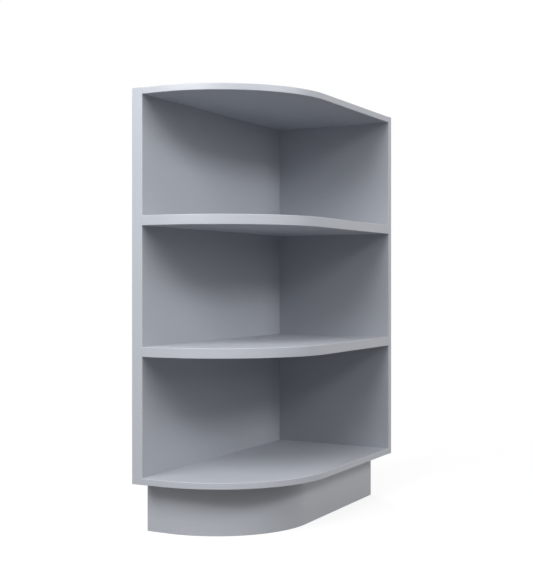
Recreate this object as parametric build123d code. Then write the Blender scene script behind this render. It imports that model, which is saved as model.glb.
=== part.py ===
from build123d import *
import os

os.makedirs("parts", exist_ok=True)

# Base end shelf cabinet, in millimetres. It stands on the floor at z = 0 with its front facing -Y
# and its open end facing +X, and the origin is the middle of its footprint.

# Overall sizes
cabinet_width = 304.8
cabinet_depth = 609.6
cabinet_height = 876.3

# Boards of the carcass
side_thick = 24.0
back_thick = 16.0
deck_thick = 13.0
shelf_thick = 20.0
front_straight = 39.5
lipping_thick = 3.0
arris_radius = 1.2

# Plinth
plinth_height = 101.6
plinth_front_setback = 50.8
plinth_end_setback = 50.8
plinth_side_inset = 3.0
plinth_front_straight = 45.0
fascia_thick = 9.0
rail_thick = 18.0
former_thick = 18.0
former_floor_gap = 3.0
cross_rail_setback = 20.0
cleat_width = 20.0

# Wooden dowels, and the wood left beyond their holes in the two uprights
large_dowel_diameter = 8.0
small_dowel_diameter = 6.0
dowel_length = 30.0
dowel_chamfer = 0.8
dowel_play = 0.1
dowel_end_gap = 1.0
side_dowel_cover = 12.0
back_dowel_cover = 6.0

# Countersunk screws, and the wood left beyond the tips of those that point up into the bottom panel
screw_diameter = 4.2
screw_head_diameter = 8.4
screw_length = 50.0
screw_tip_length = 5.0
screw_tip_diameter = 1.0
screw_tip_cover = 3.0
drive_slot_length = 4.6
drive_slot_width = 1.1
drive_slot_depth = 1.8

# Where the fixings sit: how far the outermost ones are from the ends of each joint, and their numbers
side_joint_margin = 60.0
side_joint_dowels = 3
back_joint_margin = 40.0
back_joint_dowels = 3
upright_dowel_offset = 70.0
rail_screw_margin = 25.0
cleat_screw_margin = 40.0
cleat_screws = 3
former_screw_margin = 40.0

# Faces that the pieces share
left = -cabinet_width / 2
right = cabinet_width / 2
front = -cabinet_depth / 2
rear = cabinet_depth / 2
side_face = left + side_thick
back_face = rear - back_thick
corner_radius = right - side_face - front_straight
carcass_height = cabinet_height - plinth_height

plinth_left = left + plinth_side_inset
plinth_right = right - plinth_end_setback
plinth_front = front + plinth_front_setback
plinth_radius = plinth_right - plinth_left - plinth_front_straight
fascia_back = plinth_front + fascia_thick
fascia_inside = plinth_right - fascia_thick
rail_face = plinth_left + rail_thick
cross_rail_front = plinth_front + plinth_radius + cross_rail_setback
cross_rail_back = cross_rail_front + rail_thick
rear_rail_front = rear - rail_thick
cleat_bottom = plinth_height - former_thick
fixing_screw_length = former_thick + deck_thick - screw_tip_cover

# Level boards, which share out three equal bays: each one's underside, thickness and kind of dowels
dowel_diameters = {"large_dowels": large_dowel_diameter, "small_dowels": small_dowel_diameter}
bay_height = (carcass_height - 2 * deck_thick - 2 * shelf_thick) / 3
lower_shelf_height = plinth_height + deck_thick + bay_height
upper_shelf_height = lower_shelf_height + shelf_thick + bay_height
level_boards = {
    "bottom_panel": (plinth_height, deck_thick, "small_dowels"),
    "lower_shelf": (lower_shelf_height, shelf_thick, "large_dowels"),
    "upper_shelf": (upper_shelf_height, shelf_thick, "large_dowels"),
    "top_panel": (cabinet_height - deck_thick, deck_thick, "small_dowels"),
}
bay_middles = [
    plinth_height + deck_thick + bay_height / 2,
    lower_shelf_height + shelf_thick + bay_height / 2,
    upper_shelf_height + shelf_thick + bay_height / 2,
]


def spread(first, last, count):
    """Evenly spaced places from first to last."""
    step = (last - first) / (count - 1)
    return [first + step * place for place in range(count)]


def between(places):
    """The middle of each gap in a row of places."""
    return [(place + following) / 2 for place, following in zip(places, places[1:])]


def board(x, y, z):
    """Square-edged board between two limits on each axis."""
    corner = (Align.MIN, Align.MIN, Align.MIN)
    return Pos(x[0], y[0], z[0]) * Box(x[1] - x[0], y[1] - y[0], z[1] - z[0], align=corner)


def corner_run(x, y, radius, height):
    """Line that goes along the front, round the corner and back along the open end."""
    arc_start = (x[1] - radius, y[0], height)
    arc_end = (x[1], y[0] + radius, height)
    along_front = Line((x[0], y[0], height), arc_start)
    corner = TangentArc(arc_start, arc_end, tangent=(1, 0, 0))
    along_end = Line(arc_end, (x[1], y[1], height))
    return Curve() + [along_front, corner, along_end]


def corner_board(x, y, radius, z):
    """Level board whose front right corner is round."""
    back_and_side = Polyline((x[1], y[1], z[0]), (x[0], y[1], z[0]), (x[0], y[0], z[0]))
    outline = corner_run(x, y, radius, z[0]) + back_and_side
    return extrude(make_face(outline), amount=z[1] - z[0], dir=(0, 0, 1))


def strip_section(thick, width):
    """Cross-section of a strip: X goes inwards from its outer face, and Y across it."""
    return Rectangle(thick, width, align=(Align.MIN, Align.MIN))


def lipping_section(width):
    """Cross-section of a lipping, with both arrises of its outer face rounded."""
    section = strip_section(lipping_thick, width)
    return fillet(section.vertices().group_by(Axis.X)[0], arris_radius)


def bent_strip(section, x, y, radius, height):
    """Strip bent round the corner, with its lower edge at a height and its outer face on the run."""
    start = Plane((x[0], y[0], height), x_dir=(0, 1, 0), z_dir=(1, 0, 0))
    return sweep(start * section, path=corner_run(x, y, radius, height))


def upright_lipping(corner, inwards, width):
    """Straight lipping as high as the carcass, from one corner of the board's edge."""
    foot = Plane(corner, x_dir=inwards, z_dir=(0, 0, 1))
    return extrude(foot * lipping_section(width), amount=carcass_height)


def dowel(diameter, outer_depth, play=0.0, end_gap=0.0):
    """Dowel across a joint at the origin, with outer_depth of it in the upright, towards +Z."""
    pin = Cylinder((diameter + play) / 2, dowel_length + 2 * end_gap)
    pin = chamfer(pin.edges().filter_by(GeomType.CIRCLE), dowel_chamfer)
    return Pos(0, 0, outer_depth - dowel_length / 2) * pin


def screw_body(length):
    """Countersunk screw that points down, with the top of its head at the origin."""
    head_height = (screw_head_diameter - screw_diameter) / 2
    shank_length = length - head_height - screw_tip_length
    from_top = (Align.CENTER, Align.CENTER, Align.MAX)
    head = Cone(screw_diameter / 2, screw_head_diameter / 2, head_height, align=from_top)
    shank = Pos(0, 0, -head_height) * Cylinder(screw_diameter / 2, shank_length, align=from_top)
    tip = Cone(screw_tip_diameter / 2, screw_diameter / 2, screw_tip_length, align=from_top)
    return head + shank + Pos(0, 0, screw_tip_length - length) * tip


def screw(length):
    """Screw with the cross-shaped recess of its head."""
    from_top = (Align.CENTER, Align.CENTER, Align.MAX)
    slot = Box(drive_slot_length, drive_slot_width, drive_slot_depth, align=from_top)
    return screw_body(length) - slot - Rot(0, 0, 90) * slot


# Fasteners by node, and the holes that they need by piece
fasteners = {}
holes = {}


def fit(node, fastener, hole, pieces):
    """Adds a fastener to its node, and its hole to each piece that it goes into."""
    fasteners.setdefault(node, []).append(fastener)
    for piece in pieces:
        holes.setdefault(piece, []).append(hole)


def fit_dowel(node, joint, outer_depth, pieces):
    """Fits a dowel across a joint, whose plane faces into the upright."""
    diameter = dowel_diameters[node]
    hole = dowel(diameter, outer_depth, dowel_play, dowel_end_gap)
    fit(node, joint * dowel(diameter, outer_depth), joint * hole, pieces)


def fit_screw(node, face, length, pieces):
    """Fits a screw, with its head flush with a face."""
    fit(node, face * screw(length), face * screw_body(length), pieces)


def fix_level_board(name, middle, dowels):
    """Dowels and screws between one level board and the two uprights."""
    along_side = spread(front + side_joint_margin, back_face - side_joint_margin, side_joint_dowels)
    along_back = spread(side_face + back_joint_margin, right - back_joint_margin, back_joint_dowels)
    for y in along_side:
        joint = Plane((side_face, y, middle), z_dir=(-1, 0, 0))
        fit_dowel(dowels, joint, side_thick - side_dowel_cover, ("side_panel", name))
    for y in between(along_side):
        face = Plane((left, y, middle), z_dir=(-1, 0, 0))
        fit_screw("side_panel_screws", face, screw_length, ("side_panel", name))
    for x in along_back:
        joint = Plane((x, back_face, middle), z_dir=(0, 1, 0))
        fit_dowel(dowels, joint, back_thick - back_dowel_cover, ("back_panel", name))
    for x in between(along_back):
        face = Plane((x, rear, middle), z_dir=(0, 1, 0))
        fit_screw("back_panel_screws", face, screw_length, ("back_panel", name))


def fix_uprights(middle):
    """A screw and two dowels between the side panel and the back panel, about the middle of one bay."""
    pieces = ("side_panel", "back_panel")
    y = rear - back_thick / 2
    fit_screw("side_panel_screws", Plane((left, y, middle), z_dir=(-1, 0, 0)), screw_length, pieces)
    for z in (middle - upright_dowel_offset, middle + upright_dowel_offset):
        joint = Plane((side_face, y, z), z_dir=(-1, 0, 0))
        fit_dowel("large_dowels", joint, side_thick - side_dowel_cover, pieces)


def fix_plinth_frame():
    """Screws through the plinth's side rail into the ends of the other two rails."""
    rails = {"plinth_cross_rail": cross_rail_front, "plinth_rear_rail": rear_rail_front}
    for rail, rail_front in rails.items():
        for z in (rail_screw_margin, plinth_height - rail_screw_margin):
            face = Plane((plinth_left, rail_front + rail_thick / 2, z), z_dir=(-1, 0, 0))
            fit_screw("plinth_frame_screws", face, screw_length, ("plinth_side_rail", rail))


def fix_plinth():
    """Screws up through the cleats and the upper former into the bottom panel."""
    first = cross_rail_back + cleat_screw_margin
    last = rear_rail_front - cleat_screw_margin
    along_side = rail_face + cleat_width / 2
    along_end = fascia_inside - cleat_width / 2
    near_side = rail_face + former_screw_margin
    near_end = fascia_inside - former_screw_margin
    near_front = fascia_back + former_screw_margin
    near_cross_rail = cross_rail_front - former_screw_margin
    places = {
        "plinth_side_cleat": [(along_side, y) for y in spread(first, last, cleat_screws)],
        "plinth_end_cleat": [(along_end, y) for y in spread(first, last, cleat_screws)],
        "plinth_upper_former": [
            (near_side, near_front), (near_side, near_cross_rail), (near_end, near_cross_rail)],
    }
    for holder, spots in places.items():
        for x, y in spots:
            face = Plane((x, y, cleat_bottom), z_dir=(0, 0, -1))
            fit_screw("plinth_fixing_screws", face, fixing_screw_length, (holder, "bottom_panel"))


def uprights():
    """The side panel and the back panel, with the lippings of the edges that show."""
    height = (plinth_height, cabinet_height)
    side_corner = (side_face, front, plinth_height)
    back_corner = (right, rear, plinth_height)
    return {
        "side_panel": board((left, side_face), (front + lipping_thick, rear), height),
        "back_panel": board((side_face, right - lipping_thick), (back_face, rear), height),
        "side_panel_lipping": upright_lipping(side_corner, (0, 1, 0), side_thick),
        "back_panel_lipping": upright_lipping(back_corner, (-1, 0, 0), back_thick),
    }


def level_board(name, height, thick):
    """One level board and the lipping bent round its front and its open end."""
    x = (side_face, right - lipping_thick)
    y = (front + lipping_thick, back_face)
    plate = corner_board(x, y, corner_radius - lipping_thick, (height, height + thick))
    run = ((side_face, right), (front, back_face))
    lipping = bent_strip(lipping_section(thick), *run, corner_radius, height)
    return {name: plate, name + "_lipping": lipping}


def plinth():
    """The curved fascia, the frame behind it and the cleats that the screws go through."""
    full_height = (0, plinth_height)
    top_height = (cleat_bottom, plinth_height)
    foot_height = (former_floor_gap, former_floor_gap + former_thick)
    between_rails = (rail_face, fascia_inside)
    behind_cross_rail = (cross_rail_back, rear_rail_front)
    former_depth = (fascia_back, cross_rail_front)
    former_radius = plinth_radius - fascia_thick
    fascia_section = strip_section(fascia_thick, plinth_height)
    fascia_run = ((plinth_left, plinth_right), (plinth_front, rear))
    side_cleat_width = (rail_face, rail_face + cleat_width)
    end_cleat_width = (fascia_inside - cleat_width, fascia_inside)
    return {
        "plinth_fascia": bent_strip(fascia_section, *fascia_run, plinth_radius, 0),
        "plinth_side_rail": board((plinth_left, rail_face), (fascia_back, rear), full_height),
        "plinth_cross_rail": board(between_rails, (cross_rail_front, cross_rail_back), full_height),
        "plinth_rear_rail": board(between_rails, (rear_rail_front, rear), full_height),
        "plinth_upper_former": corner_board(between_rails, former_depth, former_radius, top_height),
        "plinth_lower_former": corner_board(between_rails, former_depth, former_radius, foot_height),
        "plinth_side_cleat": board(side_cleat_width, behind_cross_rail, top_height),
        "plinth_end_cleat": board(end_cleat_width, behind_cross_rail, top_height),
    }


boards = uprights() | plinth()
for name, (height, thick, dowels) in level_boards.items():
    boards |= level_board(name, height, thick)
    fix_level_board(name, height + thick / 2, dowels)
for middle in bay_middles:
    fix_uprights(middle)
fix_plinth_frame()
fix_plinth()

for node, shape in boards.items():
    for hole in holes.get(node, []):
        shape = shape - hole
    export_step(shape, f"parts/{node}.step")
for node, group in fasteners.items():
    export_step(Compound(children=group), f"parts/{node}.step")
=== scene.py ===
"""Painted base end shelf cabinet with one large round corner, dressed for looks.

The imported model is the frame: metres, Z up, the front towards -Y and the open end towards +X.
Its boards, rails, cleats, dowels and screws keep their own meshes and get better finishes. The
lippings and the bent fascia are modelled here, finer than the frame has them.
"""
import logging
import math
from collections.abc import Iterable
from dataclasses import dataclass, field
from enum import Enum

import bmesh
import bpy
from mathutils import Matrix, Vector


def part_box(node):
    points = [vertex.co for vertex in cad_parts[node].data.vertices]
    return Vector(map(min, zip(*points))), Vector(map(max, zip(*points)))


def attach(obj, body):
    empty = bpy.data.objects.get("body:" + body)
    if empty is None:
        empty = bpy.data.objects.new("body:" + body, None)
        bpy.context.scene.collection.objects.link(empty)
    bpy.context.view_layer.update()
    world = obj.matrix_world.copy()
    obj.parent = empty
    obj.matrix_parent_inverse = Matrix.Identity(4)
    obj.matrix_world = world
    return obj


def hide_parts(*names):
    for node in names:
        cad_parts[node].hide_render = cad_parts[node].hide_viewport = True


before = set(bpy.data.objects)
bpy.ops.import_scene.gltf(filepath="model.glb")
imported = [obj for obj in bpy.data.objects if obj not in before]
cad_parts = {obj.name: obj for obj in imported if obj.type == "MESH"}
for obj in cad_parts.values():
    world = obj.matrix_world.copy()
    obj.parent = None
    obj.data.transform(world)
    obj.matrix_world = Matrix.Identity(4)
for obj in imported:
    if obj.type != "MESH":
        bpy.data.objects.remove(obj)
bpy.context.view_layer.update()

Colour = tuple[float, float, float]
Point = tuple[float, float, float]
Value = float | Point | bpy.types.NodeSocket
Element = bmesh.types.BMVert | bmesh.types.BMEdge | bmesh.types.BMFace

MM = 0.001
BODY = "root"

# The mesh attribute that marks the rounded arrises, where the paint is thinned by use and lightened as
# a painted highlight
ARRIS = "arris"
ARRIS_SEGMENTS = 4
SHARP_ANGLE = math.radians(40)
# How strongly large flat faces set the shading of the narrow round ones beside them
FLAT_FACE_WEIGHT = 80
# Corners of a mesh that are nearer than this are one corner
MERGE_GAP = 0.001 * MM
# How far off a level or a seam, and how far off a face, still counts as on it
LEVEL_SLACK = 0.01 * MM
FACE_SLACK = 0.1 * MM
# Directions run the same way when the cosine between them is above this
SAME_WAY = 0.9

WHITE: Colour = (1.0, 1.0, 1.0)
DUST_COLOUR: Colour = (0.56, 0.55, 0.53)

log = logging.getLogger("end_shelf_cabinet")


class Slot(Enum):
    """Material slots of the record that the pieces modelled here belong to."""

    PAINTED_LIPPING = "painted_lipping"
    PAINTED_FASCIA = "painted_fascia"


class Axis(Enum):
    """Axes of the frame, by their place in a vector."""

    X = 0
    Y = 1
    Z = 2


class Effect(Enum):
    """Surface effects that more than one finish uses, each a shader node group."""

    SPRAYED_SKIN = "sprayed_skin"
    TONE_DRIFT = "tone_drift"
    SETTLED_DUST = "settled_dust"
    # Also the mask of a painted highlight on the arrises
    EDGE_RUB_AND_HIGHLIGHT = "edge_rub_and_highlight"
    WOOD_FIGURE = "wood_figure"


class ShaderTree:
    """One tree of shader nodes, with short ways to add to it.

    A Mix node has sockets for every type of value, so its own ones are found by their place.
    """

    MIX_NUMBERS = (2, 3)
    MIX_COLOURS = (6, 7)
    MIXED_COLOUR = 2

    def __init__(self, tree: bpy.types.NodeTree) -> None:
        """Takes the tree that the nodes go into."""
        self.tree = tree

    def plug(self, socket: bpy.types.NodeSocket, value: Value) -> None:
        """Links an output to a socket, or sets the socket to a plain value.

        Args:
            socket: The input that takes the value.
            value: An output of this tree, a number, a vector or a colour.
        """
        if isinstance(value, bpy.types.NodeSocket):
            self.tree.links.new(value, socket)
        elif socket.type == "RGBA":
            socket.default_value = (*value, 1.0)
        else:
            socket.default_value = value

    def node(self, kind: str, inputs: dict[str | int, Value], **settings: object) -> bpy.types.Node:
        """Adds a node.

        Args:
            kind: The node's type.
            inputs: Values for its sockets, by name or by place.
            **settings: The node's own settings, set before its sockets.

        Returns:
            The node.
        """
        made = self.tree.nodes.new(kind)
        for name, setting in settings.items():
            setattr(made, name, setting)
        for key, value in inputs.items():
            self.plug(made.inputs[key], value)
        return made

    def maths(self, operation: str, first: Value, second: Value = 0.0) -> bpy.types.NodeSocket:
        """Works out one number from one or two others.

        Args:
            operation: The Math node's operation.
            first: The first number.
            second: The second number, where the operation takes one.

        Returns:
            The output that holds the result.
        """
        return self.node("ShaderNodeMath", {0: first, 1: second}, operation=operation).outputs[0]

    def stretch(self, vector: Value, factors: Value) -> bpy.types.NodeSocket:
        """Multiplies a vector, part by part, by another one."""
        inputs = {0: vector, 1: factors}
        return self.node("ShaderNodeVectorMath", inputs, operation="MULTIPLY").outputs[0]

    def scale(self, vector: Value, factor: Value) -> bpy.types.NodeSocket:
        """Multiplies a whole vector or colour by one number."""
        inputs = {0: vector, "Scale": factor}
        return self.node("ShaderNodeVectorMath", inputs, operation="SCALE").outputs[0]

    def part(self, vector: Value, axis: Axis) -> bpy.types.NodeSocket:
        """Takes one part of a vector."""
        return self.node("ShaderNodeSeparateXYZ", {0: vector}).outputs[axis.value]

    def step(self, value: Value, low: float, high: float) -> bpy.types.NodeSocket:
        """Rises smoothly from 0 to 1 as a number goes from low to high.

        Args:
            value: The number.
            low: Where the rise starts.
            high: Where it ends, which may be under low.

        Returns:
            The output that holds the result.
        """
        flip = high < low
        ends = {"From Min": min(low, high), "From Max": max(low, high)}
        limits = {"To Min": float(flip), "To Max": float(not flip)}
        inputs = {"Value": value} | ends | limits
        made = self.node("ShaderNodeMapRange", inputs, interpolation_type="SMOOTHSTEP")
        return made.outputs["Result"]

    def noise(self, vector: Value, size: float, detail: float = 2.0) -> bpy.types.NodeSocket:
        """Soft noise from 0 to 1.

        Args:
            vector: Where the noise is read, in metres.
            size: About how far apart its patches are, in metres.
            detail: How many finer layers it has.

        Returns:
            The output that holds the noise.
        """
        inputs = {"Vector": vector, "Scale": 1.0 / size, "Detail": detail, "Roughness": 0.5}
        return self.node("ShaderNodeTexNoise", inputs).outputs[0]

    def mix(self, factor: Value, first: Value, second: Value) -> bpy.types.NodeSocket:
        """Goes from one colour to another as a factor goes from 0 to 1."""
        inputs = {0: factor} | dict(zip(self.MIX_COLOURS, (first, second)))
        return self.node("ShaderNodeMix", inputs, data_type="RGBA").outputs[self.MIXED_COLOUR]

    def between(self, factor: Value, first: Value, second: Value) -> bpy.types.NodeSocket:
        """Goes from one number to another as a factor goes from 0 to 1."""
        inputs = {0: factor} | dict(zip(self.MIX_NUMBERS, (first, second)))
        return self.node("ShaderNodeMix", inputs).outputs[0]

    def relief(self, height: Value, depth: float) -> bpy.types.NodeSocket:
        """Turns a height from 0 to 1 into a bumped normal.

        Args:
            height: The height.
            depth: How deep the relief is, in metres.

        Returns:
            The output that holds the normal.
        """
        inputs = {"Strength": 1.0, "Distance": depth, "Height": height}
        return self.node("ShaderNodeBump", inputs).outputs["Normal"]


class EffectGroup(ShaderTree):
    """A shader node group with named inputs and outputs."""

    KINDS = {float: "NodeSocketFloat", tuple: "NodeSocketVector"}

    def __init__(
        self, effect: Effect, inputs: dict[str, float | Point], outputs: dict[str, str]
    ) -> None:
        """Makes the empty group.

        Args:
            effect: The effect that the group is for, which names it.
            inputs: Its inputs by name, with their usual values. A vector starts at 0.
            outputs: Its outputs by name, with their socket types.
        """
        super().__init__(bpy.data.node_groups.new(effect.value, "ShaderNodeTree"))
        for name, usual in inputs.items():
            kind = "NodeSocketColor" if name == "Colour" else self.KINDS[type(usual)]
            made = self.tree.interface.new_socket(name, in_out="INPUT", socket_type=kind)
            made.default_value = (*usual, 1.0) if kind == "NodeSocketColor" else usual
        for name, kind in outputs.items():
            self.tree.interface.new_socket(name, in_out="OUTPUT", socket_type=kind)
        self.given = self.tree.nodes.new("NodeGroupInput").outputs
        self.result = self.tree.nodes.new("NodeGroupOutput").inputs

    def give(self, **results: bpy.types.NodeSocket) -> bpy.types.NodeTree:
        """Links the results to the group's outputs.

        Args:
            **results: What each output gets. An underscore in a name stands for a space.

        Returns:
            The finished group.
        """
        for name, value in results.items():
            self.plug(self.result[name.replace("_", " ")], value)
        return self.tree


class EffectLibrary:
    """The shared effects, each built once."""

    NUMBER = "NodeSocketFloat"
    COLOUR = "NodeSocketColor"

    def __init__(self) -> None:
        """Builds every effect."""
        self.groups = {
            Effect.SPRAYED_SKIN: self.sprayed_skin(),
            Effect.TONE_DRIFT: self.tone_drift(),
            Effect.SETTLED_DUST: self.settled_dust(),
            Effect.EDGE_RUB_AND_HIGHLIGHT: self.edge_rub_and_highlight(),
            Effect.WOOD_FIGURE: self.wood_figure(),
        }

    def place(
        self, tree: ShaderTree, effect: Effect, inputs: dict[str, Value]
    ) -> bpy.types.NodeOutputs:
        """Places an effect in a material.

        Args:
            tree: The material's tree.
            effect: The effect.
            inputs: Its own values in this material, by name.

        Returns:
            The outputs of the placed group.
        """
        return tree.node("ShaderNodeGroup", inputs, node_tree=self.groups[effect]).outputs

    def sprayed_skin(self) -> bpy.types.NodeTree:
        """Orange peel of a sprayed coat over slow waves, and a slow drift of its gloss.

        Returns:
            The group. Its patterns are sized in cells of the peel.
        """
        inputs = {"Position": (0.0, 0.0, 0.0), "Cell": 2 * MM}
        outputs = {"Height": self.NUMBER, "Gloss Drift": self.NUMBER}
        group = EffectGroup(Effect.SPRAYED_SKIN, inputs, outputs)
        per_cell = group.maths("DIVIDE", 1.0, group.given["Cell"])
        cells = group.scale(group.given["Position"], per_cell)
        peel = group.noise(cells, size=1.0)
        waves = group.noise(cells, size=14.0, detail=1.0)
        share_of_waves = 0.35
        height = group.between(share_of_waves, peel, waves)
        return group.give(Height=height, Gloss_Drift=group.noise(cells, size=60.0))

    def tone_drift(self) -> bpy.types.NodeTree:
        """A colour that turns a little lighter and darker over the surface.

        Returns:
            The group. Its noise mostly keeps within a quarter of its middle, and is stretched
            so that the colour swings by about the amount.
        """
        inputs = {"Position": (0.0, 0.0, 0.0), "Colour": (0.5, 0.5, 0.5), "Amount": 0.02, "Patch": 0.2}
        group = EffectGroup(Effect.TONE_DRIFT, inputs, {"Colour": self.COLOUR})
        per_patch = group.maths("DIVIDE", 1.0, group.given["Patch"])
        patches = group.noise(group.scale(group.given["Position"], per_patch), size=1.0, detail=4.0)
        middle, stretch = 0.5, 4.0
        swing = group.maths("MULTIPLY", group.maths("SUBTRACT", patches, middle), stretch)
        factor = group.maths("ADD", 1.0, group.maths("MULTIPLY", swing, group.given["Amount"]))
        return group.give(Colour=group.scale(group.given["Colour"], factor))

    def settled_dust(self) -> bpy.types.NodeTree:
        """A thin film of dust on what faces up, patchy and never quite even.

        Returns:
            The group.
        """
        inputs = {"Position": (0.0, 0.0, 0.0), "Normal": (0.0, 0.0, 0.0), "Amount": 0.1}
        group = EffectGroup(Effect.SETTLED_DUST, inputs, {"Mask": self.NUMBER})
        spot = group.given["Position"]
        upwards = group.step(group.part(group.given["Normal"], Axis.Z), low=0.5, high=0.98)
        film = group.step(group.noise(spot, size=90 * MM, detail=5.0), low=0.25, high=0.8)
        specks = group.step(group.noise(spot, size=1.2 * MM, detail=1.0), low=0.66, high=0.78)
        weight_of_specks = 0.6
        cover = group.maths("ADD", film, group.maths("MULTIPLY", specks, weight_of_specks))
        amount = group.maths("MULTIPLY", cover, group.given["Amount"])
        return group.give(Mask=group.maths("MULTIPLY", upwards, amount))

    def edge_rub_and_highlight(self) -> bpy.types.NodeTree:
        """Rubbing along marked edges, broken up so that it comes and goes. The paint uses it for
        thinned arrises and for a painted highlight on them.

        Returns:
            The group.
        """
        inputs = {"Position": (0.0, 0.0, 0.0), "Edge": 0.0, "Amount": 0.5}
        group = EffectGroup(Effect.EDGE_RUB_AND_HIGHLIGHT, inputs, {"Mask": self.NUMBER})
        spot = group.given["Position"]
        stretches = group.step(group.noise(spot, size=70 * MM, detail=3.0), low=0.2, high=0.75)
        nibbles = group.step(group.noise(spot, size=4 * MM, detail=3.0), low=0.3, high=0.7)
        share_of_nibbles = 0.3
        breakup = group.between(share_of_nibbles, stretches, nibbles)
        amount = group.maths("MULTIPLY", breakup, group.given["Amount"])
        return group.give(Mask=group.maths("MULTIPLY", amount, group.given["Edge"]))

    def wood_figure(self) -> bpy.types.NodeTree:
        """Long grain with soft growth bands, and short dark pores along it.

        Returns:
            The group.
        """
        inputs = {"Position": (0.0, 0.0, 0.0), "Stretch": (1.0, 1.0, 1.0)}
        outputs = {"Bands": self.NUMBER, "Fibres": self.NUMBER, "Pores": self.NUMBER}
        group = EffectGroup(Effect.WOOD_FIGURE, inputs, outputs)
        along = group.stretch(group.given["Position"], group.given["Stretch"])
        bands = group.step(group.noise(along, size=18 * MM, detail=3.0), low=0.3, high=0.7)
        fibres = group.noise(along, size=1.1 * MM, detail=3.0)
        pores = group.step(group.noise(along, size=0.6 * MM, detail=1.0), low=0.68, high=0.8)
        return group.give(Bands=bands, Fibres=fibres, Pores=pores)


class Surface(ShaderTree):
    """A material with its shader and the places on the surface that its patterns read."""

    def __init__(self, name: str) -> None:
        """Makes the material.

        Args:
            name: The material's name.
        """
        self.material = bpy.data.materials.new(name)
        self.material.use_nodes = True
        super().__init__(self.material.node_tree)
        self.shader = self.tree.nodes["Principled BSDF"]
        self.position = self.tree.nodes.new("ShaderNodeTexCoord").outputs["Object"]
        self.normal = self.tree.nodes.new("ShaderNodeNewGeometry").outputs["Normal"]

    def shade(self, **inputs: Value) -> bpy.types.Material:
        """Sets the shader's inputs.

        Args:
            **inputs: Values by socket. An underscore in a name stands for a space.

        Returns:
            The finished material.
        """
        for name, value in inputs.items():
            self.plug(self.shader.inputs[name.replace("_", " ")], value)
        return self.material


@dataclass(frozen=True)
class SatinPaint:
    """Sprayed satin paint with orange peel, faint dust, and arrises paler as thinned paint and painted
    highlight.

    Attributes:
        name: The finish's name.
        colour: The clean paint.
        rubbed_and_highlit: The paint on an arris that use has thinned, paler partly as a painted
            highlight.
        roughness: How dull the clean paint is, from 0 to 1.
        gloss_drift: How far its roughness wanders up and down.
        reflectance: How much it mirrors when it is looked at straight, where 0.5 is usual.
        peel_cell: How far apart the bumps of the orange peel are.
        peel_depth: How deep they are.
        drift: How far the colour wanders up and down.
        drift_patch: How far apart its lighter patches are.
        dust: How much dust lies on what faces up.
        dust_dulls: How much rougher full dust is.
        rub_and_highlight: How much the arrises are thinned by use, and how much they are lightened as
            a painted highlight.
        rub_polishes: How much smoother an arris is where its rubbing is full.
        marks: How strong the marks of mops and shoes near the floor are.
        marks_dull: How much rougher a full mark is.
        marks_top: How high above the floor they end.
    """

    name: str
    colour: Colour = (0.430, 0.450, 0.492)
    # Paler paint for the arrises, partly thinned paint and partly a painted highlight
    rubbed_and_highlit: Colour = (0.480, 0.500, 0.540)
    roughness: float = 0.29
    gloss_drift: float = 0.015
    reflectance: float = 0.5
    peel_cell: float = 1.8 * MM
    peel_depth: float = 0.012 * MM
    drift: float = 0.008
    drift_patch: float = 160 * MM
    dust: float = 0.02
    dust_dulls: float = 0.5
    rub_and_highlight: float = 0.5
    rub_polishes: float = 0.04
    marks: float = 0.0
    marks_dull: float = 0.3
    marks_top: float = 70 * MM

    def material(self, effects: EffectLibrary) -> bpy.types.Material:
        """Builds the material.

        Args:
            effects: The shared effects.

        Returns:
            The material.
        """
        surface = Surface(self.name)
        place = {"Position": surface.position}
        edge = surface.node("ShaderNodeAttribute", {}, attribute_name=ARRIS).outputs["Fac"]
        skin = effects.place(surface, Effect.SPRAYED_SKIN, place | {"Cell": self.peel_cell})
        drift = {"Colour": self.colour, "Amount": self.drift, "Patch": self.drift_patch}
        paint = effects.place(surface, Effect.TONE_DRIFT, place | drift)["Colour"]
        film = {"Normal": surface.normal, "Amount": self.dust}
        dust = effects.place(surface, Effect.SETTLED_DUST, place | film)["Mask"]
        wear_and_highlight = {"Edge": edge, "Amount": self.rub_and_highlight}
        # Mask of the arrises, for thinned paint and for a painted highlight
        rub_and_highlight = effects.place(surface, Effect.EDGE_RUB_AND_HIGHLIGHT, place | wear_and_highlight)["Mask"]
        marks = self.marks_near_floor(surface)
        # Paler arrises: partly paint thinned by use, partly a painted highlight
        worn_and_highlit = surface.mix(rub_and_highlight, surface.mix(marks, paint, DUST_COLOUR), self.rubbed_and_highlit)
        glossy, dull = self.roughness - self.gloss_drift, self.roughness + self.gloss_drift
        gloss = surface.between(skin["Gloss Drift"], glossy, dull)
        dusty = surface.maths("ADD", gloss, surface.maths("MULTIPLY", dust, self.dust_dulls))
        polish = surface.maths("MULTIPLY", rub_and_highlight, self.rub_polishes)
        rough = surface.maths("SUBTRACT", dusty, polish)
        return surface.shade(
            Base_Color=surface.mix(dust, worn_and_highlit, DUST_COLOUR),
            Roughness=surface.maths("ADD", rough, surface.maths("MULTIPLY", marks, self.marks_dull)),
            Specular_IOR_Level=self.reflectance,
            Normal=surface.relief(skin["Height"], self.peel_depth),
        )

    def marks_near_floor(self, surface: Surface) -> bpy.types.NodeSocket:
        """Makes faint mop and shoe marks, in level streaks that fade out upwards.

        Args:
            surface: The material.

        Returns:
            The output that holds their mask.
        """
        near = surface.step(surface.part(surface.position, Axis.Z), self.marks_top, 0.0)
        streaks = surface.stretch(surface.position, (1.0, 1.0, 5.0))
        patches = surface.step(surface.noise(streaks, size=50 * MM, detail=4.0), low=0.35, high=0.75)
        return surface.maths("MULTIPLY", surface.maths("MULTIPLY", near, patches), self.marks)


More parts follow.
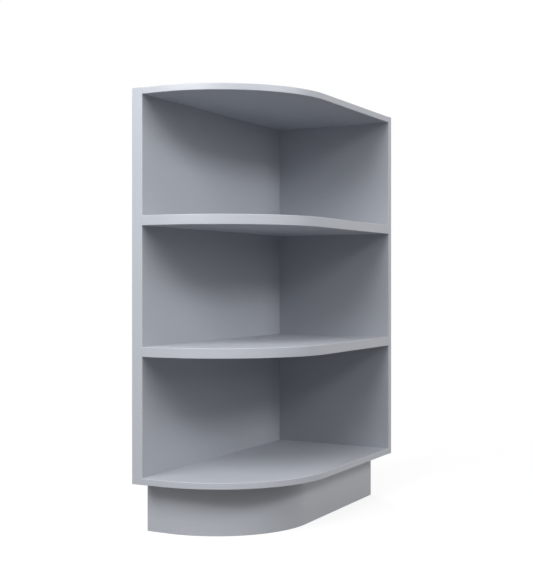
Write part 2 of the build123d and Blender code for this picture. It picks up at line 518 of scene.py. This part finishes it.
@dataclass(frozen=True)
class BirchPlywood:
    """Birch plywood: rotary-cut faces, and edges that show its plies and glue lines.

    Attributes:
        name: The finish's name.
        stacked: The axis that the plies are stacked along.
        start: Where on that axis a ply starts.
        ply: How thick a ply is, so that every board along the axis holds whole plies.
        grain: The axis that the grain of the faces runs along.
        face: The face veneer.
        face_dark: The growth bands and fibres in it.
        long_ply: A ply cut along its grain.
        end_ply: A ply cut across its grain, and the pores.
        glue: The glue lines.
        along_grain: How fast the figure changes along the grain, where 1 is its pace across it.
        figure: How strongly fibres and pores show on a face.
        seam: How strongly the glue lines show, and how deep they are.
        dust: How much dust lies on what faces up.
        roughness: How dull it is, from 0 to 1.
        gloss_drift: How far its roughness goes up and down with the fibres.
        relief: How deep the fibres are.
    """

    name: str
    stacked: Axis
    start: float
    ply: float
    grain: Axis
    face: Colour = (0.66, 0.50, 0.33)
    face_dark: Colour = (0.56, 0.40, 0.25)
    long_ply: Colour = (0.62, 0.46, 0.29)
    end_ply: Colour = (0.42, 0.28, 0.16)
    glue: Colour = (0.20, 0.12, 0.07)
    along_grain: float = 0.06
    figure: float = 0.35
    seam: float = 0.8
    dust: float = 0.12
    roughness: float = 0.62
    gloss_drift: float = 0.1
    relief: float = 0.05 * MM

    def material(self, effects: EffectLibrary) -> bpy.types.Material:
        """Builds the material.

        Args:
            effects: The shared effects.

        Returns:
            The material.
        """
        surface = Surface(self.name)
        place = {"Position": surface.position}
        stretch = [1.0, 1.0, 1.0]
        stretch[self.grain.value] = self.along_grain
        figure = effects.place(surface, Effect.WOOD_FIGURE, place | {"Stretch": tuple(stretch)})
        fibres = surface.maths("MULTIPLY", figure["Fibres"], self.figure)
        pores = surface.maths("MULTIPLY", figure["Pores"], self.figure)
        veneer = surface.mix(figure["Bands"], self.face, self.face_dark)
        veneer = surface.mix(fibres, veneer, self.face_dark)
        veneer = surface.mix(pores, veneer, self.end_ply)
        facing = surface.maths("ABSOLUTE", surface.part(surface.normal, self.stacked))
        on_face = surface.step(facing, low=0.6, high=0.8)
        edge, seam = self.ply_edges(surface, figure["Fibres"])
        film = {"Normal": surface.normal, "Amount": self.dust}
        dusty = effects.place(surface, Effect.SETTLED_DUST, place | film)["Mask"]
        wood = surface.mix(on_face, edge, veneer)
        height = surface.maths("SUBTRACT", figure["Fibres"], seam)
        smooth, rough = self.roughness - self.gloss_drift, self.roughness + self.gloss_drift
        return surface.shade(
            Base_Color=surface.mix(dusty, wood, DUST_COLOUR),
            Roughness=surface.between(figure["Fibres"], smooth, rough),
            Normal=surface.relief(height, self.relief),
        )

    def ply_edges(
        self, surface: Surface, fibres: bpy.types.NodeSocket
    ) -> tuple[bpy.types.NodeSocket, bpy.types.NodeSocket]:
        """Colours of the plies on an edge.

        Args:
            surface: The material.
            fibres: The fine grain, from 0 to 1.

        Returns:
            The edge's colour, and how strongly its glue lines show.
        """
        depth = surface.maths("SUBTRACT", surface.part(surface.position, self.stacked), self.start)
        plies = surface.maths("DIVIDE", depth, self.ply)
        crossed = surface.maths("MODULO", surface.maths("FLOOR", plies), 2.0)
        within = surface.maths("FRACT", plies)
        off_middle = surface.maths("ABSOLUTE", surface.maths("SUBTRACT", within, 0.5))
        line = surface.step(off_middle, low=0.40, high=0.49)
        seam = surface.maths("MULTIPLY", line, self.seam)
        long_ply = surface.mix(fibres, self.long_ply, self.face)
        end_ply = surface.mix(fibres, self.end_ply, self.long_ply)
        plain = surface.mix(surface.maths("ABSOLUTE", crossed), long_ply, end_ply)
        return surface.mix(seam, plain, self.glue), seam


@dataclass(frozen=True)
class TurnedBeech:
    """Steamed beech with its short brown flecks.

    Attributes:
        name: The finish's name.
        light: The wood between the fibres.
        dark: The fibres.
        fleck: The flecks.
        stretch: How fast the figure changes along each axis, where 1 is its usual pace.
        roughness: How dull it is, from 0 to 1.
        gloss_drift: How far its roughness goes up and down with the fibres.
        relief: How deep the fibres are.
    """

    name: str
    light: Colour = (0.68, 0.50, 0.34)
    dark: Colour = (0.58, 0.40, 0.26)
    fleck: Colour = (0.36, 0.21, 0.12)
    stretch: Point = (0.7, 0.7, 1.0)
    roughness: float = 0.55
    gloss_drift: float = 0.08
    relief: float = 0.03 * MM

    def material(self, effects: EffectLibrary) -> bpy.types.Material:
        """Builds the material.

        Args:
            effects: The shared effects.

        Returns:
            The material.
        """
        surface = Surface(self.name)
        place = {"Position": surface.position, "Stretch": self.stretch}
        figure = effects.place(surface, Effect.WOOD_FIGURE, place)
        wood = surface.mix(figure["Fibres"], self.light, self.dark)
        smooth, rough = self.roughness - self.gloss_drift, self.roughness + self.gloss_drift
        return surface.shade(
            Base_Color=surface.mix(figure["Pores"], wood, self.fleck),
            Roughness=surface.between(figure["Fibres"], smooth, rough),
            Normal=surface.relief(figure["Fibres"], self.relief),
        )


@dataclass(frozen=True)
class BrightZinc:
    """Bright zinc plate with a faint straw and blue cast, and a fine uneven skin.

    Attributes:
        name: The finish's name.
        silver: The plate where it has no cast.
        straw: Its straw-coloured patches.
        blue: Its blue patches.
        patch: How far apart the patches are.
        smooth: The roughness of its brightest spots.
        rough: The roughness of its dullest spots.
        cell: How far apart the bumps of the skin are.
        relief: How deep they are.
    """

    name: str
    silver: Colour = (0.56, 0.56, 0.54)
    straw: Colour = (0.55, 0.51, 0.42)
    blue: Colour = (0.47, 0.51, 0.56)
    patch: float = 6 * MM
    smooth: float = 0.22
    rough: float = 0.42
    cell: float = 0.25 * MM
    relief: float = 0.006 * MM

    def material(self, effects: EffectLibrary) -> bpy.types.Material:
        """Builds the material.

        Args:
            effects: The shared effects.

        Returns:
            The material.
        """
        surface = Surface(self.name)
        cast = surface.noise(surface.position, self.patch)
        tint = surface.mix(surface.step(cast, low=0.35, high=0.5), self.blue, self.silver)
        tint = surface.mix(surface.step(cast, low=0.5, high=0.7), tint, self.straw)
        place = {"Position": surface.position, "Cell": self.cell}
        skin = effects.place(surface, Effect.SPRAYED_SKIN, place)
        return surface.shade(
            Base_Color=tint,
            Metallic=1.0,
            Roughness=surface.between(skin["Height"], self.smooth, self.rough),
            Normal=surface.relief(skin["Height"], self.relief),
        )


class FinishSet:
    """Every finish on the cabinet, built once.

    The boards' large faces are sprayed duller than the strips round their edges.
    """

    BOARD = SatinPaint("painted_board", rub_and_highlight=0.0, roughness=0.62, reflectance=0.15)
    LIPPING = SatinPaint("painted_lipping")
    FASCIA = SatinPaint("painted_fascia", dust=0.05, marks=0.10)
    PLYWOODS = (
        BirchPlywood("plywood_side", Axis.X, start=-149.4 * MM, ply=1.3846 * MM, grain=Axis.Y),
        BirchPlywood("plywood_across", Axis.Y, start=-28 * MM, ply=1.3868 * MM, grain=Axis.X),
        BirchPlywood("plywood_flat", Axis.Z, start=3 * MM, ply=1.3897 * MM, grain=Axis.Y),
    )

    def __init__(self) -> None:
        """Builds the effects and then the finishes."""
        effects = EffectLibrary()
        self.board = self.BOARD.material(effects)
        self.lipping = self.LIPPING.material(effects)
        self.fascia = self.FASCIA.material(effects)
        self.ply_by_axis = {ply.stacked: ply.material(effects) for ply in self.PLYWOODS}
        self.beech = TurnedBeech("beech").material(effects)
        self.zinc = BrightZinc("zinc_plate").material(effects)


def dress(node: str, material: bpy.types.Material) -> str:
    """Gives a node of the frame its finish.

    Args:
        node: The node's name.
        material: The finish.

    Returns:
        The node's name, for the log.
    """
    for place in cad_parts[node].material_slots:
        place.material = material
    return node


def ease(bm: bmesh.types.BMesh, edges: Iterable[bmesh.types.BMEdge], radius: float) -> None:
    """Rounds edges and marks the round faces, so that a finish can thin their paint and lighten them
    as a painted highlight.

    Args:
        bm: The mesh.
        edges: The edges that are rounded.
        radius: How far the rounding reaches on each side.
    """
    mark = bm.loops.layers.float.new(ARRIS)
    made = bmesh.ops.bevel(
        bm, geom=list(edges), offset=radius, offset_type="OFFSET", segments=ARRIS_SEGMENTS,
        profile=0.5, affect="EDGES", clamp_overlap=True, material=-1,
    )
    for face in made["faces"]:
        for loop in face.loops:
            loop[mark] = 1.0


def new_piece(
    bm: bmesh.types.BMesh, node: str, material: bpy.types.Material
) -> bpy.types.Object:
    """Turns a finished mesh into a piece that stands for a node of the frame.

    Args:
        bm: The mesh, in the frame's own place. It is freed.
        node: The node that the piece replaces.
        material: The finish.

    Returns:
        The piece.
    """
    bmesh.ops.remove_doubles(bm, verts=bm.verts, dist=MERGE_GAP)
    bmesh.ops.recalc_face_normals(bm, faces=bm.faces)
    name = f"{node}_piece"
    mesh = bpy.data.meshes.new(name)
    bm.to_mesh(mesh)
    bm.free()
    mesh.shade_smooth()
    mesh.set_sharp_from_angle(angle=SHARP_ANGLE)
    mesh.materials.append(material)
    piece = bpy.data.objects.new(name, mesh)
    bpy.context.scene.collection.objects.link(piece)
    weighted = piece.modifiers.new("flat_faces", "WEIGHTED_NORMAL")
    weighted.weight = FLAT_FACE_WEIGHT
    weighted.keep_sharp = True
    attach(piece, BODY)
    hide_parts(node)
    return piece


@dataclass
class StraightLipping:
    """Strip glued to a straight edge of an upright, with its two long arrises eased.

    Attributes:
        node: The node of the frame that it stands for.
        outwards: The way that its outer face looks.
        arris_radius: How round its arrises are.
    """

    node: str
    outwards: Point
    arris_radius: float = 1.2 * MM

    def mesh(self) -> bmesh.types.BMesh:
        """Builds the strip in the node's box.

        Returns:
            Its mesh.
        """
        low, high = (Vector(corner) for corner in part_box(self.node))
        bm = bmesh.new()
        bmesh.ops.create_cube(bm, size=1.0)
        bmesh.ops.scale(bm, vec=high - low, verts=bm.verts)
        bmesh.ops.translate(bm, vec=(low + high) / 2, verts=bm.verts)
        ease(bm, [edge for edge in bm.edges if self.is_arris(edge)], self.arris_radius)
        return bm

    def is_arris(self, edge: bmesh.types.BMEdge) -> bool:
        """Tells the two long edges of the strip's outer face.

        Args:
            edge: An edge of the strip.

        Returns:
            Whether it is upright and on the outer face.
        """
        run = edge.verts[1].co - edge.verts[0].co
        upright = abs(run.z) > SAME_WAY * run.length
        outwards = Vector(self.outwards)
        return upright and any(face.normal.dot(outwards) > SAME_WAY for face in edge.link_faces)

    def build(self, finishes: FinishSet) -> bpy.types.Object:
        """Builds and finishes the piece."""
        return new_piece(self.mesh(), self.node, finishes.lipping)


@dataclass
class BentStrip:
    """Strip that goes along the front, round the corner and back along the open end.

    Attributes:
        node: The node of the frame that it stands for.
        thick: How thick it is.
        radius: The radius of its outer face in the bend.
        easing: How round its two long outer arrises are.
        steps: How many flats the bend has.
    """

    node: str
    thick: float
    radius: float
    easing: float
    steps: int = 68

    def mesh(self) -> bmesh.types.BMesh:
        """Builds the strip in the node's box.

        Returns:
            Its mesh.
        """
        low, high = (Vector(corner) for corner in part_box(self.node))
        centre = Vector((high.x - self.radius, low.y + self.radius, 0.0))
        bm = bmesh.new()
        section = self.section(bm, low, high)
        bend = self.pull(bm, section, Vector((centre.x - low.x, 0.0, 0.0)))
        made = bmesh.ops.spin(
            bm, geom=bend, cent=centre, axis=(0.0, 0.0, 1.0), angle=math.pi / 2,
            steps=self.steps, use_merge=False, use_duplicate=False,
        )
        self.pull(bm, made["geom_last"], Vector((0.0, high.y - centre.y, 0.0)))
        bmesh.ops.remove_doubles(bm, verts=bm.verts, dist=MERGE_GAP)
        bmesh.ops.recalc_face_normals(bm, faces=bm.faces)
        outer = [edge for edge in bm.edges if self.is_arris(edge, low, high, centre)]
        ease(bm, outer, self.easing)
        return bm

    def section(self, bm: bmesh.types.BMesh, low: Vector, high: Vector) -> list[Element]:
        """Makes the strip's cross-section at its left end.

        Args:
            bm: The mesh.
            low: The lowest corner of the strip's box.
            high: Its highest corner.

        Returns:
            The face, its edges and its vertices.
        """
        size = Vector((self.thick, high.z - low.z, 1.0))
        # Stands the flat grid up, with its x along the frame's y and its y along the frame's z
        upright = Matrix(((0, 0, 1), (1, 0, 0), (0, 1, 0))).to_4x4()
        middle = Vector((low.x, low.y + self.thick / 2, (low.z + high.z) / 2))
        bmesh.ops.create_grid(bm, x_segments=1, y_segments=1, size=0.5)
        bmesh.ops.scale(bm, vec=size, verts=bm.verts)
        bmesh.ops.transform(bm, matrix=Matrix.Translation(middle) @ upright, verts=bm.verts)
        return [*bm.faces, *bm.edges, *bm.verts]

    def pull(self, bm: bmesh.types.BMesh, end: list[Element], way: Vector) -> list[Element]:
        """Draws the strip's end out in a straight run, and leaves no face inside the strip.

        Args:
            bm: The mesh.
            end: The end's face, edges and vertices.
            way: How far the end goes.

        Returns:
            The new end.
        """
        faces = [item for item in end if isinstance(item, bmesh.types.BMFace)]
        inside = [face for face in faces if any(len(edge.link_faces) > 1 for edge in face.edges)]
        made = bmesh.ops.extrude_face_region(bm, geom=faces)["geom"]
        verts = [item for item in made if isinstance(item, bmesh.types.BMVert)]
        bmesh.ops.translate(bm, vec=way, verts=verts)
        left = [face for face in inside if face.is_valid]
        bmesh.ops.delete(bm, geom=left, context="FACES_ONLY")
        return made

    def is_arris(self, edge: bmesh.types.BMEdge, low: Vector, high: Vector, centre: Vector) -> bool:
        """Tells the two long edges of the strip's outer face.

        Args:
            edge: The edge.
            low: The lowest corner of the strip's box.
            high: Its highest corner.
            centre: The middle of the bend.

        Returns:
            Whether its two ends are on the outer face and at one height.
        """
        ends = [vert.co for vert in edge.verts]
        level = abs(ends[0].z - ends[1].z) < LEVEL_SLACK
        return level and all(self.depth_inside(end, low, high, centre) < FACE_SLACK for end in ends)

    def depth_inside(self, spot: Vector, low: Vector, high: Vector, centre: Vector) -> float:
        """Measures how far inwards from the strip's outer face a point is.

        Args:
            spot: The point.
            low: The lowest corner of the strip's box.
            high: Its highest corner.
            centre: The middle of the bend.

        Returns:
            The distance, which depends on the stretch of the strip that the point is in.
        """
        if spot.x <= centre.x + LEVEL_SLACK:
            return spot.y - low.y
        if spot.y >= centre.y - LEVEL_SLACK:
            return high.x - spot.x
        return self.radius - (spot - centre).to_2d().length


@dataclass
class Carcass:
    """The two uprights and the lippings of their edges that show.

    Attributes:
        boards: The uprights' nodes.
        lippings: The strips on their edges.
    """

    boards: tuple[str, ...] = ("side_panel", "back_panel")
    lippings: tuple[StraightLipping, ...] = (
        StraightLipping("side_panel_lipping", (0.0, -1.0, 0.0)),
        StraightLipping("back_panel_lipping", (1.0, 0.0, 0.0)),
    )

    def build(self, finishes: FinishSet) -> list[str]:
        """Builds and dresses the uprights.

        Args:
            finishes: The cabinet's finishes.

        Returns:
            The names of the pieces.
        """
        made = [lipping.build(finishes).name for lipping in self.lippings]
        return [dress(board, finishes.board) for board in self.boards] + made


@dataclass
class LevelBoards:
    """The top, the two fixed shelves and the bottom, each with a lipping bent round it.

    Attributes:
        names: The boards' nodes. A lipping's node adds a word to its board's.
        lipping_thick: How thick the lippings are.
        corner_radius: The radius of the round corner, outside its lipping.
        arris_radius: How round the lippings' arrises are.
    """

    names: tuple[str, ...] = ("bottom_panel", "lower_shelf", "upper_shelf", "top_panel")
    lipping_thick: float = 3 * MM
    corner_radius: float = 241.3 * MM
    arris_radius: float = 1.2 * MM

    def build(self, finishes: FinishSet) -> list[str]:
        """Builds and dresses the level boards.

        Args:
            finishes: The cabinet's finishes.

        Returns:
            The names of the pieces.
        """
        made = []
        for name in self.names:
            node = f"{name}_lipping"
            strip = BentStrip(node, self.lipping_thick, self.corner_radius, self.arris_radius)
            piece = new_piece(strip.mesh(), node, finishes.lipping)
            made += [dress(name, finishes.board), piece.name]
        return made


@dataclass
class Plinth:
    """The recessed plinth: a fascia bent round formers, on a frame of plywood rails.

    Attributes:
        fascia_thick: How thick the fascia is.
        fascia_radius: The radius of its round corner, outside.
        fascia_easing: How round its arrises are.
        woodwork: The nodes of the plywood boards, by the axis that their plies are stacked along.
    """

    fascia_thick: float = 9 * MM
    fascia_radius: float = 206 * MM
    fascia_easing: float = 0.6 * MM
    woodwork: dict[Axis, tuple[str, ...]] = field(default_factory=lambda: {
        Axis.X: ("plinth_side_rail",),
        Axis.Y: ("plinth_cross_rail", "plinth_rear_rail"),
        Axis.Z: (
            "plinth_upper_former", "plinth_lower_former", "plinth_side_cleat", "plinth_end_cleat",
        ),
    })

    def build(self, finishes: FinishSet) -> list[str]:
        """Builds and dresses the plinth.

        Args:
            finishes: The cabinet's finishes.

        Returns:
            The names of the pieces.
        """
        node = "plinth_fascia"
        strip = BentStrip(node, self.fascia_thick, self.fascia_radius, self.fascia_easing)
        made = [new_piece(strip.mesh(), node, finishes.fascia).name]
        for axis, nodes in self.woodwork.items():
            made += [dress(node, finishes.ply_by_axis[axis]) for node in nodes]
        return made


@dataclass
class Fixings:
    """The dowels in the joints, and the screws whose heads show at the side, the back and below.

    Attributes:
        dowels: The dowels' nodes, one for each size.
        screws: The screws' nodes, one for each place.
    """

    dowels: tuple[str, ...] = ("large_dowels", "small_dowels")
    screws: tuple[str, ...] = (
        "side_panel_screws", "back_panel_screws", "plinth_frame_screws", "plinth_fixing_screws"
    )

    def build(self, finishes: FinishSet) -> list[str]:
        """Dresses the fixings.

        Args:
            finishes: The cabinet's finishes.

        Returns:
            The names of the pieces.
        """
        made = [dress(node, finishes.beech) for node in self.dowels]
        return made + [dress(node, finishes.zinc) for node in self.screws]


@dataclass(frozen=True)
class Softbox:
    """A rectangular soft lamp that looks at the middle of the cabinet.

    Attributes:
        name: The lamp's name.
        azimuth: Where it stands, in degrees: 0 straight in front and 90 at the open end.
        elevation: How high it stands, in degrees above level.
        distance: How far it is from the middle, in metres.
        wide: How wide it is, in metres.
        tall: How tall it is, in metres.
        level: What white at the middle, facing the lamp, renders as, from 0 to 1.
        middle: The middle of the cabinet.
    """

    name: str
    azimuth: float
    elevation: float
    distance: float
    wide: float
    tall: float
    level: float
    middle: Point = (0.0, 0.0, 0.45)

    def build(self) -> bpy.types.Object:
        """Builds the lamp.

        Returns:
            The lamp.
        """
        turned = Matrix.Rotation(math.radians(self.azimuth), 3, "Z")
        raised = Matrix.Rotation(math.radians(-self.elevation), 3, "X")
        out = turned @ raised @ Vector((0.0, -self.distance, 0.0))
        data = bpy.data.lights.new(self.name, "AREA")
        data.shape = "RECTANGLE"
        data.size, data.size_y = self.wide, self.tall
        # White that faces a flat lamp sends back the lamp's power / (pi * distance) ** 2
        data.energy = self.level * (math.pi * self.distance) ** 2
        lamp = bpy.data.objects.new(self.name, data)
        aim = (-out).to_track_quat("-Z", "Y").to_matrix().to_4x4()
        lamp.matrix_world = Matrix.Translation(Vector(self.middle) + out) @ aim
        bpy.context.scene.collection.objects.link(lamp)
        return lamp


@dataclass
class Studio:
    """A plain pale floor that goes over into a white background, and soft lamps.

    Attributes:
        floor_radius: The floor's radius, in metres.
        floor_segments: How many sides its edge has.
        floor_colour: How the floor takes the lamps' light.
        floor_roughness: How dull it is.
        floor_lift: How much light it seems to give off, so that only a shadow on it shows.
        near: Up to this far from the middle the floor looks as it is lit, in metres.
        far: From this far on it is plain white, in metres.
        lamps: The lamps.
    """

    floor_radius: float = 8.0
    floor_segments: int = 96
    floor_colour: Colour = (0.22, 0.22, 0.22)
    floor_roughness: float = 0.9
    floor_lift: float = 0.83
    near: float = 0.6
    far: float = 1.6
    lamps: tuple[Softbox, ...] = (
        Softbox(
            "end_softbox", azimuth=87, elevation=28, distance=3.0, wide=2.4, tall=0.5, level=0.26
        ),
        Softbox(
            "high_end_softbox", azimuth=76, elevation=33, distance=3.0, wide=2.2, tall=0.5, level=0.15
        ),
        Softbox(
            "low_end_softbox", azimuth=90, elevation=18, distance=3.0, wide=2.4, tall=1.1, level=0.14
        ),
        Softbox(
            "front_softbox", azimuth=-9, elevation=34, distance=2.4, wide=1.8, tall=1.3, level=0.84
        ),
        Softbox(
            "low_front_softbox", azimuth=-2, elevation=18, distance=2.6, wide=1.5, tall=1.1, level=0.12
        ),
        Softbox(
            "side_softbox", azimuth=20, elevation=32, distance=2.6, wide=0.7, tall=0.7, level=0.15
        ),
        Softbox(
            "top_softbox", azimuth=50, elevation=70, distance=2.4, wide=1.2, tall=1.2, level=0.19
        ),
        Softbox(
            "back_softbox", azimuth=228, elevation=12, distance=3.0, wide=1.6, tall=0.8, level=0.75
        ),
    )

    def build(self) -> list[str]:
        """Builds the floor, the world and the lamps.

        Returns:
            The names of the floor and the lamps.
        """
        self.world()
        return [self.floor().name, *(lamp.build().name for lamp in self.lamps)]

    def seen_directly(self, tree: ShaderTree) -> bpy.types.NodeSocket:
        """Tells looking rays from lighting ones.

        Args:
            tree: The tree of nodes.

        Returns:
            1 for what the camera, a reflection or glass sees, and 0 for the light on things.
        """
        rays = tree.tree.nodes.new("ShaderNodeLightPath").outputs
        mirrored = tree.maths("MAXIMUM", rays["Is Glossy Ray"], rays["Is Transmission Ray"])
        return tree.maths("MAXIMUM", rays["Is Camera Ray"], mirrored)

    def world(self) -> None:
        """Makes a world that is white to look at and in reflections, and lights nothing else."""
        made = bpy.data.worlds.new("studio")
        bpy.context.scene.world = made
        made.use_nodes = True
        tree = ShaderTree(made.node_tree)
        background = made.node_tree.nodes["Background"]
        tree.plug(background.inputs["Color"], WHITE)
        tree.plug(background.inputs["Strength"], self.seen_directly(tree))

    def floor(self) -> bpy.types.Object:
        """Makes the floor, which keeps the cabinet's shadow near it and is white further off.

        Returns:
            The floor.
        """
        bm = bmesh.new()
        bmesh.ops.create_circle(
            bm, cap_ends=True, segments=self.floor_segments, radius=self.floor_radius
        )
        mesh = bpy.data.meshes.new("studio_floor")
        bm.to_mesh(mesh)
        bm.free()
        mesh.materials.append(self.floor_material())
        floor = bpy.data.objects.new("studio_floor", mesh)
        bpy.context.scene.collection.objects.link(floor)
        return floor

    def floor_material(self) -> bpy.types.Material:
        """Builds the floor's matt surface, lifted so far that its lit parts look white.

        Returns:
            The material.
        """
        surface = Surface("studio_floor")
        seen = self.seen_directly(surface)
        surface.shade(
            Base_Color=self.floor_colour,
            Roughness=self.floor_roughness,
            Specular_IOR_Level=0.0,
            Emission_Color=WHITE,
            Emission_Strength=surface.maths("MULTIPLY", seen, self.floor_lift),
        )
        white = surface.node("ShaderNodeEmission", {"Color": WHITE, "Strength": 1.0})
        distance = surface.node("ShaderNodeVectorMath", {0: surface.position}, operation="LENGTH")
        beyond = surface.step(distance.outputs["Value"], self.near, self.far)
        whiten = surface.maths("MULTIPLY", beyond, seen)
        inputs = {0: whiten, 1: surface.shader.outputs[0], 2: white.outputs[0]}
        blend = surface.node("ShaderNodeMixShader", inputs)
        surface.plug(surface.tree.nodes["Material Output"].inputs["Surface"], blend.outputs[0])
        return surface.material


@dataclass(frozen=True)
class Viewpoint:
    """The camera, standing level and aimed as the photograph was taken.

    Attributes:
        place: Where it stands.
        turn: How far it is turned to the left of straight towards the back, in radians.
        lens: Its focal length, in millimetres.
        sensor: The longer side of its sensor, in millimetres.
        shift: How far its frame is moved sideways and up, in lengths of its longer side.
    """

    place: Point = (1.065213, -2.072216, 0.499372)
    turn: float = 0.5044
    lens: float = 68.193
    sensor: float = 36.0
    shift: tuple[float, float] = (0.04601, -0.01248)

    def build(self) -> str:
        """Builds the camera.

        Returns:
            Its name.
        """
        data = bpy.data.cameras.new("viewpoint")
        data.sensor_width = self.sensor
        data.lens = self.lens
        data.shift_x, data.shift_y = self.shift
        camera = bpy.data.objects.new("viewpoint", data)
        camera.location = self.place
        camera.rotation_euler = (math.pi / 2, 0.0, self.turn)
        bpy.context.scene.collection.objects.link(camera)
        bpy.context.scene.camera = camera
        return camera.name


def main() -> None:
    """Builds the camera, the cabinet and the studio, and reports each piece."""
    logging.basicConfig(level=logging.INFO, format="%(name)s: %(message)s")
    bpy.context.scene.view_settings.view_transform = "Standard"
    log.info("camera %s", Viewpoint().build())
    finishes = FinishSet()
    for assembly in (Carcass(), LevelBoards(), Plinth(), Fixings()):
        for piece in assembly.build(finishes):
            log.info("%s: %s", type(assembly).__name__, piece)
    for item in Studio().build():
        log.info("studio: %s", item)


if __name__ == "__main__":
    main()
